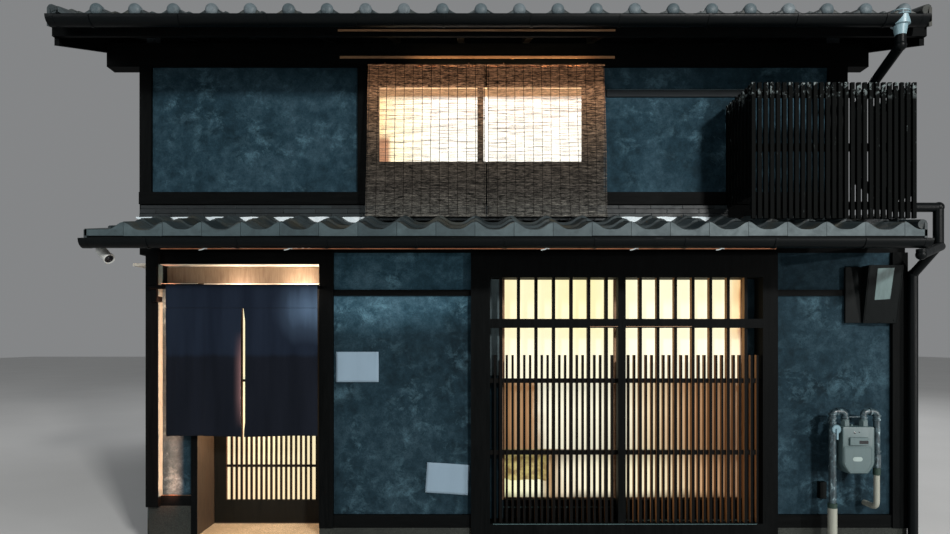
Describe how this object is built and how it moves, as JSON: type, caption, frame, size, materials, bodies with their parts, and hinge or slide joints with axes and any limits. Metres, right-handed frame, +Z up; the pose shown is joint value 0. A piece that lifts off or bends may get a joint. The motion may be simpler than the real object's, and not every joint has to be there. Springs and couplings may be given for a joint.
{
  "type": "machiya townhouse",
  "caption": "Narrow two-storey wooden townhouse with dark plaster walls, tiled eaves, a lattice bay, a sliding lattice entrance behind a split curtain, and reed blinds.",
  "frame": {"origin": "middle of the plan on the ground, on the underside of the ground floor slab", "axes": "+X to the right along the street as seen from it, +Y into the house, +Z up"},
  "size_m": [5.7437, 7.82, 5.2256],
  "materials": {
    "stone": "bush-hammered granite",
    "earth_floor": "trowelled mortar",
    "floor_boards": "sawn boards",
    "plaster": "trowelled dark plaster",
    "dark_timber": "stained near black",
    "lattice_timber": "stained near black",
    "porch_timber": "planed cedar",
    "pane": "frosted, lit from inside",
    "roof_tile": "smoked grey, weathered",
    "gutter_paint": "satin black",
    "screen_timber": "weathered black paint",
    "reed": "split reeds",
    "noren_cloth": "dyed cotton",
    "meter_paint": "off-white enamel",
    "pipe_paint": "grey paint",
    "box_paint": "matt black",
    "camera_plastic": "white",
    "notice_paper": "plain sheets"
  },
  "bodies": {
    "house": {"foundation_stones": "stone", "ground_floor": "earth_floor", "upper_floor": "floor_boards", "party_wall_left": "plaster", "party_wall_right": "plaster", "front_walls": "plaster", "upper_walls": "plaster", "rear_walls": "plaster", "front_posts": "dark_timber", "upper_posts": "dark_timber", "sill_beams": "dark_timber", "front_beams": "dark_timber", "roof_beams": "dark_timber", "window_frame": "dark_timber", "lower_rafters": "dark_timber", "rafters": "dark_timber", "verge_boards": "dark_timber", "rear_posts": "dark_timber", "upper_window_frame": "dark_timber", "noren_rod": "dark_timber", "lattice_left": "lattice_timber", "lattice_right": "lattice_timber", "porch_ceiling": "porch_timber", "porch_inner_walls": "porch_timber", "window_glass": "pane", "upper_window_glass": "pane", "rear_glass": "pane", "lower_roof": "roof_tile", "noshi_band": "roof_tile", "main_roof_front": "roof_tile", "main_roof_rear": "roof_tile", "roof_ridge": "roof_tile", "gutters": "gutter_paint", "downpipes": "gutter_paint", "slat_screen": "screen_timber", "reed_blind_left": "reed", "reed_blind_right": "reed", "noren": "noren_cloth", "gas_meter": "meter_paint", "gas_pipes": "pipe_paint", "electric_boxes": "box_paint", "security_camera": "camera_plastic", "notices": "notice_paper"},
    "door": {"entrance_door": "lattice_timber", "door_glass": "pane"}
  },
  "joints": [
    {"name": "entrance_door_slide", "type": "slide", "parent": "house", "child": "door", "axis": [1, 0, 0], "range_m": [0, 0.7]}
  ]
}
